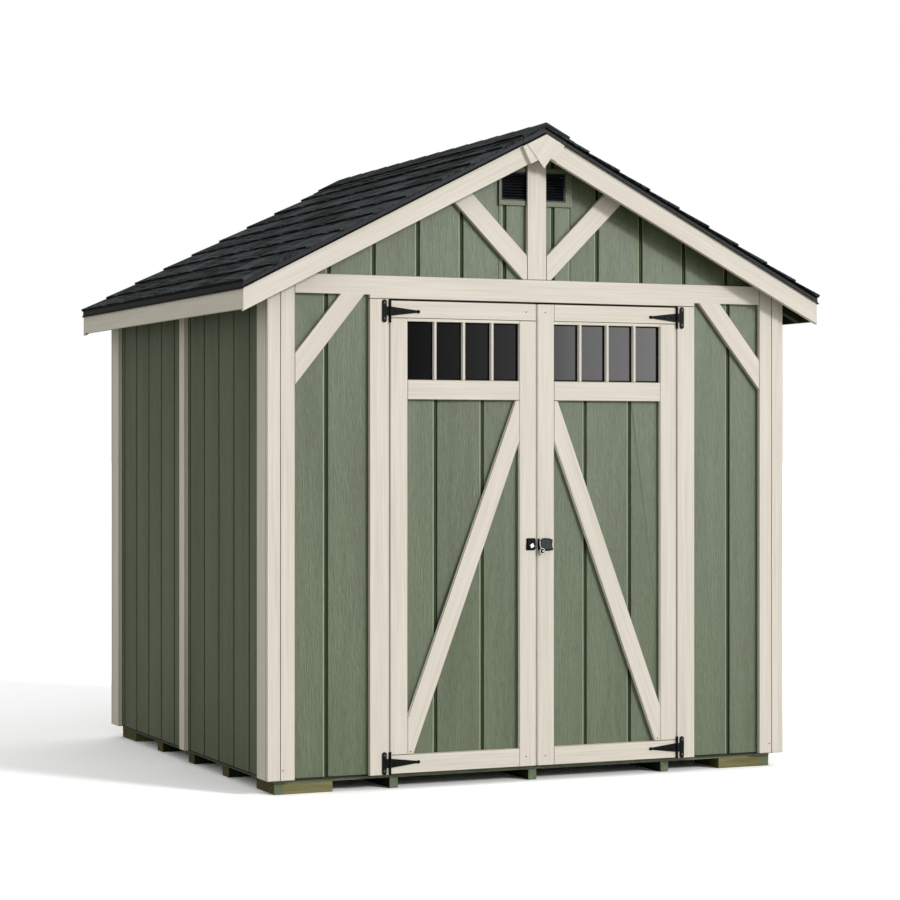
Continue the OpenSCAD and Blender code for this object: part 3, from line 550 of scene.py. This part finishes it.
window = dict(bars=3, barWidth=0.0105, strip=0.012, recess=0.001, gasket=0.0065)
doorCoats = [creamPaint, jointShadePaint, gasketAndGapShade, barSideLitPaint]
leafCoat, leafJointShade, leafTopShade, leafEdgeLit = range(4)
for side, body in [("left", "left_door"), ("right", "right_door")]:
    low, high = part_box(side + "_pane")
    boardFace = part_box(side + "_frame")[0].y
    bm = copyNode(side + "_frame")
    easeEdges(bm, 0.0018)
    layGrain(bm, 90 + len(side))
    markJoints(bm, creamTree, leafJointShade)
    for face in bm.faces:
        # The top of a leaf gets black: painted shade in the gap under the casing
        if face.normal.z > 0.3 and face.calc_center_median().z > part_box(side + "_frame")[1].z - 0.003:
            face.material_index = leafTopShade
        # The side edges of a leaf get the lighter paint: painted light on faces in shade
        elif abs(face.normal.x) > 0.9:
            face.material_index = leafEdgeLit
    finishPiece(bm, side + "DoorFrame", body, doorCoats, "cream_board", [side + "_frame"])

    bm = bmesh.new()
    # Black gasket strips along the pane edges, also painted shade for the dark shade and reflection along the bars and
    # frame
    gasketShadeMesh = bmesh.new()
    paneWidth = (high.x - low.x - window["bars"] * window["barWidth"]) / (window["bars"] + 1)
    bars = [(low.x, high.x, high.z - 0.001, high.z + window["strip"] - 0.0008)]
    gasketShadeStrips = [(low.x, high.x, low.z, low.z + window["gasket"]), (low.x, high.x, high.z - window["gasket"], high.z)]
    for i in range(window["bars"] + 2):
        x = low.x + i * (paneWidth + window["barWidth"])
        if 0 < i <= window["bars"]:
            bars.append((x - window["barWidth"], x, low.z, high.z - 0.001))
        gasketShadeStrips.append((max(low.x, x - window["barWidth"] - window["gasket"]), min(high.x, x + window["gasket"]),
                      low.z, high.z))
    for x0, x1, z0, z1 in bars:
        addSlab(bm, [(x0, z0), (x1, z0), (x1, z1), (x0, z1)], boardFace + window["recess"], low.y)
    for x0, x1, z0, z1 in gasketShadeStrips:
        addSlab(gasketShadeMesh, [(x0, z0), (x1, z0), (x1, z1), (x0, z1)], low.y - 0.0012, low.y - 0.0001)
    easeEdges(bm, 0.0012)
    layGrain(bm, 70 + len(side))
    for face in bm.faces:
        # The sides of the bars get the lighter paint: painted light on faces in shade
        face.material_index = 1 if abs(face.normal.x) > 0.9 else 0
    finishPiece(bm, side + "WindowBars", body, [creamPaint, barSideLitPaint], "cream_board")
    finishPiece(gasketShadeMesh, side + "WindowGasketShade", body, [gasketAndGapShade], "black_metal")

    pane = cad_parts[side + "_pane"]
    pane.data.materials.clear()
    pane.data.materials.append(acrylic)
print("doors framed")


# ---- apex plate: a chevron over both rake boards, and a thicker diamond on it ----

apex = dict(middle=-0.012, half=0.099, width=0.082, diamondHalf=0.080, diamondDrop=0.148, step=0.003, boards=0.0999,
            proud=0.007)
low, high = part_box("apex_plate")
peakHigh = high.z
left, right = apex["middle"] - apex["half"], apex["middle"] + apex["half"]
run, rise = apex["width"] * sin(roofPitch), apex["width"] * cos(roofPitch)
diamond = [apex["middle"] - apex["diamondHalf"], apex["middle"] + apex["diamondHalf"]]
bm = bmesh.new()
middleLow = peakHigh + apex["proud"] / cos(roofPitch) - apex["boards"]
addSlab(bm, [(0, peakHigh), (right, peakHigh - roofSlope * right), (right - run, peakHigh - roofSlope * right - rise),
             (0, middleLow), (left + run, peakHigh + roofSlope * left - rise), (left, peakHigh + roofSlope * left)],
        low.y + apex["step"], high.y)
addSlab(bm, [(0, peakHigh), (diamond[1], peakHigh - roofSlope * diamond[1]),
             (apex["middle"], peakHigh - apex["diamondDrop"]), (diamond[0], peakHigh + roofSlope * diamond[0])],
        low.y, low.y + apex["step"] - 0.0003)
easeEdges(bm, 0.0008, 1)
layGrain(bm, 44)
finishPiece(bm, "apexPlate", "shed", [creamPaint], "cream_board", ["apex_plate"])


# ---- gable vent ----

bm = copyNode("gable_vent")
easeEdges(bm, 0.0006, 1)
finishPiece(bm, "gableVent", "shed", [louvreVinyl], "black_metal", ["gable_vent"])


# ---- hinges ----

# Heights are from the middle of a hinge, and the screws of a strap are placed from the pin
hinge = dict(ease=0.0009, headRadius=0.0062, headHeight=0.0022, plateHalf=0.0485, plateX=0.7155,
             plateScrews=(-0.033, 0.033), pinX=0.6905, strapScrews=(0.027, 0.062, 0.100), tipRadius=0.0078,
             thickness=0.0035)


# Domed screw head on a face that looks to the front
def addScrewHead(bm, x, y, z, radius, height):
    made = bmesh.ops.create_uvsphere(bm, u_segments=16, v_segments=8, radius=1)["verts"]
    for vert in made:
        vert.co = Vector((x + vert.co.x * radius, y + vert.co.y * height, z + vert.co.z * radius))


hingeHeights = []
for node, piece, body in [("hinge_plates", "hingePlates", "shed"), ("left_straps", "leftHingeStraps", "left_door"),
                          ("right_straps", "rightHingeStraps", "right_door")]:
    low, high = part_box(node)
    bm = copyNode(node)
    easeEdges(bm, hinge["ease"], 1)
    heads = bmesh.new()
    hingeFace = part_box("left_frame")[0].y - hinge["thickness"]
    if node == "hinge_plates":
        hingeHeights = [low.z + hinge["plateHalf"], high.z - hinge["plateHalf"]]
        for x in (-hinge["plateX"], hinge["plateX"]):
            for z in hingeHeights:
                for offset in hinge["plateScrews"]:
                    addScrewHead(heads, x, hingeFace, z + offset, hinge["headRadius"], hinge["headHeight"])
    else:
        side = -1 if node == "left_straps" else 1
        for z in hingeHeights:
            for offset in hinge["strapScrews"]:
                addScrewHead(heads, side * (hinge["pinX"] - offset), hingeFace, z, hinge["headRadius"] * 0.8,
                             hinge["headHeight"])
            tip = low.x + hinge["tipRadius"] if side > 0 else high.x - hinge["tipRadius"]
            addScrewHead(bm, tip, hingeFace + 0.001, z, hinge["tipRadius"] * 0.95, 0.005)
    finishPiece(bm, piece, body, [hingeCoat], "black_metal", [node], smooth=True)
    finishPiece(heads, piece + "Screws", body, [screwCoat if node == "hinge_plates" else hingeCoat], "black_metal",
                smooth=True)


# ---- lock and pull ----

# Outlines are X and Z from the middle of the lock. The ring and staple stay right of the swing of the left leaf.
lock = dict(plate=[(-0.050, -0.0275), (-0.053, -0.0225), (-0.051, 0.014), (-0.053, 0.019), (-0.049, 0.025),
                   (-0.012, 0.025), (-0.008, 0.020), (-0.008, -0.0225), (-0.012, -0.0275)],
            pull=[(0.003, -0.0285), (0.008, -0.0145), (0.0092, 0.0035), (0.0055, 0.0155), (0.0153, 0.0215),
                  (0.030, 0.024), (0.0473, 0.024), (0.0645, 0.0215), (0.0743, 0.0155), (0.072, 0.0015),
                  (0.072, -0.0125), (0.078, -0.0245), (0.0743, -0.0285), (0.0547, -0.031), (0.0227, -0.031)],
            keeperDepth=0.009,
            keeper=[(0.003, -0.020), (0.003, 0.0225), (0.013, 0.0225), (0.013, -0.020)],
            staple=[(0.0147, 0.021), (0.0067, 0.022), (0.0058, 0.010), (0.0063, -0.004), (0.0107, -0.016)],
            ring=(0.0174, -0.031), ringRadius=0.0115, wire=0.0031, wear=0.0017, front=0.0158,
            spindle=(-0.0305, -0.0075), spindleSide=0.016, spindleTurn=75, spindleFront=0.017, plateDepth=0.007,
            pullDepth=0.011)
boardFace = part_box("left_frame")[0].y
lockZ = (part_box("left_lock")[0].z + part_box("left_lock")[1].z) / 2


def shrink(outline, share):
    cx = sum(x for x, z in outline) / len(outline)
    cz = sum(z for x, z in outline) / len(outline)
    return [(cx + (x - cx) * share, cz + (z - cz) * share) for x, z in outline]


# Round wire along points of X and Z at one depth
def addWire(bm, points, y, radius, closed):
    rings = []
    for i, (x, z) in enumerate(points):
        before = points[i - 1] if closed or i else points[0]
        after = points[(i + 1) % len(points)] if closed or i + 1 < len(points) else points[-1]
        along = Vector((after[0] - before[0], 0, after[1] - before[1])).normalized()
        across = along.cross(Vector((0, 1, 0)))
        rings.append([Vector((x, y, z)) + radius * (cos(a) * across + sin(a) * Vector((0, 1, 0)))
                      for a in [k * pi / 5 for k in range(10)]])
    if closed:
        rings.append(rings[0])
    loftRings(bm, rings)
    bmesh.ops.remove_doubles(bm, verts=bm.verts, dist=1e-6)


def placed(outline):
    return [(x, z + lockZ) for x, z in outline]


for piece, body, outline, depth, coat, node in [
        ("lockPlate", "left_door", lock["plate"], lock["plateDepth"], hingeCoat, "left_lock"),
        ("pullPlate", "right_door", lock["pull"], lock["pullDepth"], pullCoat, "right_pull")]:
    bm = bmesh.new()
    addSlab(bm, placed(outline), boardFace - depth * 0.55, boardFace)
    rimFaces = set(bm.faces)
    addSlab(bm, placed(shrink(outline, 0.8)), boardFace - depth, boardFace - depth * 0.55)
    for face in bm.faces:
        face.material_index = 0 if face in rimFaces else 1
    easeEdges(bm, 0.0014)
    finishPiece(bm, piece, body, [hingeCoat, coat], "black_metal", [node])

bm = bmesh.new()
half = lock["spindleSide"] / 2 * 2 ** 0.5
turns = [radians(lock["spindleTurn"] + 90 * k) for k in range(4)]
addSlab(bm, placed([(lock["spindle"][0] + half * cos(a), lock["spindle"][1] + half * sin(a)) for a in turns]),
        boardFace - lock["spindleFront"], boardFace - lock["plateDepth"] - 0.001)
easeEdges(bm, 0.001)
finishPiece(bm, "lockSpindle", "left_door", [chrome], None)


def ringPoints(radius, aside=0.0):
    return placed([(lock["ring"][0] + aside + radius * cos(k * pi / 14), lock["ring"][1] + radius * sin(k * pi / 14))
                   for k in range(28)])


# The staple and key ring on a dark keeper, worn bright along the front
y = boardFace - lock["front"]
bm = bmesh.new()
addSlab(bm, placed(lock["keeper"]), boardFace - lock["keeperDepth"], boardFace)
addSlab(bm, ringPoints(lock["ringRadius"]), y, y + 0.002)
addWire(bm, placed(lock["staple"]), y, lock["wire"] * 0.85, False)
addWire(bm, ringPoints(lock["ringRadius"]), y, lock["wire"], True)
finishPiece(bm, "pullRing", "right_door", [hingeCoat], "black_metal", smooth=True)
y -= lock["wire"] * 0.7
bm = bmesh.new()
addWire(bm, placed(lock["staple"]), y, lock["wear"], False)
addWire(bm, ringPoints(lock["ringRadius"]), y, lock["wear"], True)
addSlab(bm, ringPoints(0.0028, 0.004), y, y + 0.004)
finishPiece(bm, "pullRingWear", "right_door", [chrome], None, smooth=True)
print("hardware fitted")


# ---- screws through the trim ----

screw = dict(radius=0.0032, height=0.0009, doorEdge=0.0515, rightIn=0.011, top=2.0335, foot=0.1075,
             hingeEnd=(0.594, 0.157), corner=(1.1685, 0.106))
bm = bmesh.new()
for side in (-1, 1):
    addScrewHead(bm, side * screw["corner"][0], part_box("corner_boards_end")[0].y, screw["corner"][1],
                 screw["radius"], screw["height"])
finishPiece(bm, "cornerScrews", "shed", [screwCoat], "black_metal", smooth=True)
for side, body in [(-1, "left_door"), (1, "right_door")]:
    bm = bmesh.new()
    edge = screw["doorEdge"] - screw["rightIn"] * (side > 0)
    for x, z in [(edge, screw["top"]), (edge, screw["foot"]), screw["hingeEnd"]]:
        addScrewHead(bm, side * x, boardFace, z, screw["radius"], screw["height"])
    finishPiece(bm, ("left" if side < 0 else "right") + "DoorScrews", body, [screwCoat], "black_metal", smooth=True)


# ---- shingles ----

roof = dict(first=0.142, exposure=0.167, cap=0.118, under=0.02, ply=0.003,
            baseButt=0.0098, baseHead=0.0032, tabButt=0.0136, tabHead=0.0044, tabs=(0.10, 0.32), gaps=(0.03, 0.08))


def roofPoint(side, s, v, y):
    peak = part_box("roof_deck")[1].z
    return Vector((side * (s * cos(roofPitch) + v * sin(roofPitch)), y,
                   peak - s * sin(roofPitch) + v * cos(roofPitch)))


# A wedge on the slope, from its lower edge s0 up to s1, between y0 and y1
def addWedge(bm, side, s0, s1, y0, y1, low, butt, head, blend):
    made = bmesh.ops.create_cube(bm, size=1)["verts"]
    for vert in made:
        lower, upper, far = vert.co.x < 0, vert.co.z > 0, vert.co.y > 0
        thick = (butt if lower else head) if upper else low
        vert.co = roofPoint(side, s0 if lower else s1, thick, y1 if far else y0)
        vert[bm.verts.layers.float["granuleBlend"]] = blend
    return made


# Tops and ends show granules; lower edges and undersides are bare asphalt, coated near black as painted shade under
# each course
def coatShingles(bm, side):
    down = roofPoint(side, 1, 0, 0) - roofPoint(side, 0, 0, 0)
    up = roofPoint(side, 0, 1, 0) - roofPoint(side, 0, 0, 0)
    layer = bm.loops.layers.uv.get("grain") or bm.loops.layers.uv.new("grain")
    for face in bm.faces:
        if face.calc_center_median().x * side > 0:
            face.material_index = 1 if face.normal.dot(down) > 0.7 or face.normal.dot(up) < -0.5 else 0
            for loop in face.loops:
                loop[layer].uv = (loop.vert.co.dot(down) + loop.vert.co.dot(up) * 0.6, loop.vert.co.y)


def layShingles(side, node, piece, seed):
    chance = random.Random(seed)
    low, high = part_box(node)
    bm = bmesh.new()
    bm.verts.layers.float.new("granuleBlend")
    y0, y1 = low.y, high.y
    reach = max(abs(low.x), abs(high.x))
    length = (reach - roof["tabButt"] * sin(roofPitch)) / cos(roofPitch) - 0.0004
    butts = [length]
    while butts[-1] - roof["exposure"] > roof["cap"] + 0.02:
        butts.append(butts[-1] - (roof["first"] if len(butts) == 1 else roof["exposure"]))
    for k, s0 in enumerate(butts):
        s1 = (butts[k + 1] if k + 1 < len(butts) else 0.002) - (roof["under"] if k + 1 < len(butts) else 0)
        y = y0 + roof["ply"]
        while y < y1 - roof["ply"] - 0.001:
            end = min(y1 - roof["ply"], y + chance.uniform(0.7, 1.0))
            end = y1 - roof["ply"] if y1 - end < 0.2 else end
            addWedge(bm, side, s0 - 0.001, s1, y, end - 0.0008, 0.0004, roof["baseButt"], roof["baseHead"],
                     chance.uniform(0, 0.3))
            y = end
        y = y0
        while y < y1 - 0.02:
            end = min(y1, y + chance.uniform(*roof["tabs"]))
            end = y1 if y1 - end < 0.12 else end
            addWedge(bm, side, s0 - chance.uniform(0, 0.002), s1, y, end, 0.003, roof["tabButt"], roof["tabHead"],
                     chance.uniform(0, 0.5))
            y = end + chance.uniform(*roof["gaps"])
    bmesh.ops.recalc_face_normals(bm, faces=bm.faces)
    coatShingles(bm, side)
    finishPiece(bm, piece, "shed", [asphalt, asphaltEdgeShade], "asphalt_shingle", [node])


layShingles(-1, "shingles_left", "shinglesLeft", 5)
layShingles(1, "shingles_right", "shinglesRight", 9)


# Caps over the ridge: a wide starter layer, and short pieces lapped from the rear to the front
ridge = dict(starter=0.150, starterLength=0.83, starterTop=0.0128, count=15, lap=1.25, near=0.0208, far=0.0180)


def layRidgeCaps():
    chance = random.Random(21)
    low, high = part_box("ridge_cap")
    bm = bmesh.new()
    tone = bm.verts.layers.float.new("granuleBlend")

    def addCap(half, y0, y1, bottom, near, far):
        rings = []
        for y, top in [(y0, near), (y1, far)]:
            ring = [roofPoint(-1, half, bottom, y), roofPoint(-1, half, top, y), None, roofPoint(1, half, top, y),
                    roofPoint(1, half, bottom, y), None]
            ring[2] = Vector((0, y, roofPoint(1, 0, 0, y).z + top / cos(roofPitch) - 0.0002))
            ring[5] = Vector((0, y, roofPoint(1, 0, 0, y).z + bottom / cos(roofPitch)))
            rings.append(ring)
        blend = chance.uniform(0, 0.4)
        for face in loftRings(bm, rings):
            for vert in face.verts:
                vert[tone] = blend

    y = low.y + roof["ply"]
    while y < high.y - 0.01:
        end = min(high.y - roof["ply"], y + ridge["starterLength"])
        addCap(ridge["starter"], y, end - 0.001, 0.0035, ridge["starterTop"], ridge["starterTop"])
        y = end
    step = (high.y - low.y) / ridge["count"]
    for i in range(ridge["count"]):
        y = low.y + i * step
        addCap(roof["cap"], y, min(high.y, y + step * ridge["lap"]), ridge["starterTop"] - 0.002, ridge["near"],
               ridge["far"])
    coatShingles(bm, -1)
    coatShingles(bm, 1)
    finishPiece(bm, "ridgeCaps", "shed", [asphalt, asphaltEdgeShade], "asphalt_shingle", ["ridge_cap"])


layRidgeCaps()
print("roof shingled")


# ---- drip edges: bent sheet with a kicked-out hem ----

drip = dict(profile=[(0.0020, 0.0), (0.0020, -0.0150), (0.0034, -0.0180), (0.0074, -0.0218), (0.0074, -0.0236),
                     (0.0056, -0.0236), (0.0022, -0.0198), (0.0, -0.0165), (0.0, 0.0)],
            coverHalf=0.104, coverOut=0.0016, coverDown=0.0016, hem=0.0185)


# Rings of the profile at the apex and corners of one side; out is added to its depth, down to its height
def dripRings(side, profile, stops):
    low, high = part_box("roof_deck")
    peak = high.z
    rings = []
    for x, y, turnX, turnY in stops:
        ring = []
        for out, down in profile:
            px = x + out * turnX
            ring.append(Vector((side * px, (high.y if y > 0 else low.y) + out * turnY,
                                peak - px * roofSlope + down / cos(roofPitch))))
        rings.append(ring)
    return rings


bm = bmesh.new()
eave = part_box("roof_deck")[1].x
for side in (-1, 1):
    loftRings(bm, dripRings(side, drip["profile"], [(0, -1, 0, -1), (eave, -1, 1, -1), (eave, 1, 1, 1), (0, 1, 0, 1)]))
    cover = [(out + drip["coverOut"] * (out > 0.001), down - drip["coverDown"] * (down < -0.001))
             for out, down in drip["profile"]]
    loftRings(bm, dripRings(side, cover, [(0, -1, 0, -1), (drip["coverHalf"], -1, 0, -1)]))
easeEdges(bm, 0.0004, 1)
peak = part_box("roof_deck")[1].z
# The hem gets the deeper black coat of the hinges: painted shade for the dark line along the bottom of the drip edge
for face in bm.faces:
    middle = face.calc_center_median()
    below = (peak - abs(middle.x) * roofSlope - middle.z) * cos(roofPitch)
    face.material_index = 1 if below > drip["hem"] else 0
finishPiece(bm, "dripEdges", "shed", [dripCoat, hingeCoat], "black_metal", ["drip_edges"])
print("drip edges bent")


# ---- studio ----

studio = dict(skyStrength=0.64, sunStrength=1.7, sunAngle=9, sunFrom=(0.64, -1.0, 0.50), floorShown=1.56,
              floorBounce=(0.52, 0.52, 0.44), cameraAt=(-4.62403, -10.74708, 1.4511), heading=23.692,
              focal=2453.549, horizon=446.543)
# What gloss reflects: radiance by the heading of the reflected ray, in degrees right of straight ahead of the doors
surround = [(-180, 0.2), (0, 0.2), (21, 0.05), (22.9, 0.08), (24.4, 0.36), (25.4, 0.65), (26.0, 2.3),
            (27.7, 2.75), (28.6, 3.5), (34, 7.0), (62, 7.0), (75, 0.8), (180, 0.2)]
# Between these two heights, in degrees, the surround fades into an even ceiling
surroundTop = (38, 55)

bm = bmesh.new()
bmesh.ops.create_grid(bm, x_segments=1, y_segments=1, size=200)
floorMesh = bpy.data.meshes.new("studioFloor")
bm.to_mesh(floorMesh)
bm.free()
floor = bpy.data.objects.new("studioFloor", floorMesh)
bpy.context.scene.collection.objects.link(floor)
material, tree = newMaterial("whiteFloor")
seen = addNode(tree, "ShaderNodeLightPath")
bounce = addNode(tree, "ShaderNodeBsdfDiffuse", {"Color": studio["floorBounce"] + (1,)})
shown = addNode(tree, "ShaderNodeBsdfDiffuse", {"Color": (studio["floorShown"],) * 3 + (1,)})
mixed = addNode(tree, "ShaderNodeMixShader",
                links={0: seen.outputs["Is Camera Ray"], 1: bounce.outputs["BSDF"], 2: shown.outputs["BSDF"]})
addNode(tree, "ShaderNodeOutputMaterial", links={"Surface": mixed.outputs["Shader"]})
floorMesh.materials.append(material)

world = bpy.data.worlds.new("studioSky")
world.use_nodes = True
tree = world.node_tree
tree.nodes.clear()
seen = addNode(tree, "ShaderNodeLightPath")
heading = addNode(tree, "ShaderNodeTexCoord")
axes = addNode(tree, "ShaderNodeSeparateXYZ", links={0: heading.outputs["Generated"]})
ahead = addNode(tree, "ShaderNodeMath", {1: -1.0}, {0: axes.outputs["Y"]}, operation="MULTIPLY")
angle = addNode(tree, "ShaderNodeMath", links={0: axes.outputs["X"], 1: ahead.outputs[0]}, operation="ARCTAN2")
turn = addNode(tree, "ShaderNodeMapRange", {"From Min": -pi, "From Max": pi}, {"Value": angle.outputs[0]})
ramp = addNode(tree, "ShaderNodeValToRGB", links={"Fac": turn.outputs[0]})
brightest = max(value for degrees, value in surround)
for degrees, value in surround:
    stops = ramp.color_ramp.elements
    stop = stops[0] if degrees == -180 else stops[-1] if degrees == 180 else stops.new(degrees / 360 + 0.5)
    stop.color = (value / brightest,) * 3 + (1,)
raised = addNode(tree, "ShaderNodeMapRange",
                 {"From Min": sin(radians(surroundTop[0])), "From Max": sin(radians(surroundTop[1])), "To Min": 0.0,
                  "To Max": 1.0}, {"Value": axes.outputs["Z"]})
overhead = addNode(tree, "ShaderNodeMix", {3: 0.5 / brightest}, {0: raised.outputs[0], 2: ramp.outputs["Color"]},
                   data_type="FLOAT")
strength = addNode(tree, "ShaderNodeMath", {1: brightest}, {0: overhead.outputs[0]}, operation="MULTIPLY")
gloss = addNode(tree, "ShaderNodeBackground", {"Color": (1, 1, 1, 1)}, {"Strength": strength.outputs[0]})
sky = addNode(tree, "ShaderNodeBackground", {"Color": (1, 1, 1, 1), "Strength": studio["skyStrength"]})
white = addNode(tree, "ShaderNodeBackground", {"Color": (1, 1, 1, 1), "Strength": 1.0})
lit = addNode(tree, "ShaderNodeMixShader",
              links={0: seen.outputs["Is Glossy Ray"], 1: sky.outputs["Background"], 2: gloss.outputs["Background"]})
mixed = addNode(tree, "ShaderNodeMixShader",
                links={0: seen.outputs["Is Camera Ray"], 1: lit.outputs["Shader"], 2: white.outputs["Background"]})
addNode(tree, "ShaderNodeOutputWorld", links={"Surface": mixed.outputs["Shader"]})
bpy.context.scene.world = world

sunLight = bpy.data.lights.new("keySun", "SUN")
sunLight.energy = studio["sunStrength"]
sunLight.angle = radians(studio["sunAngle"])
sun = bpy.data.objects.new("keySun", sunLight)
sun.rotation_euler = Vector(studio["sunFrom"]).to_track_quat("Z", "Y").to_euler()
bpy.context.scene.collection.objects.link(sun)

cameraData = bpy.data.cameras.new("camera")
cameraData.sensor_width = 36
cameraData.lens = studio["focal"] / 900 * 36
cameraData.shift_y = (studio["horizon"] - 450) / 900
camera = bpy.data.objects.new("camera", cameraData)
camera.location = studio["cameraAt"]
camera.rotation_euler = (pi / 2, 0, -radians(studio["heading"]))
bpy.context.scene.collection.objects.link(camera)
bpy.context.scene.camera = camera
bpy.context.scene.view_settings.view_transform = "Standard"
print("studio lit")
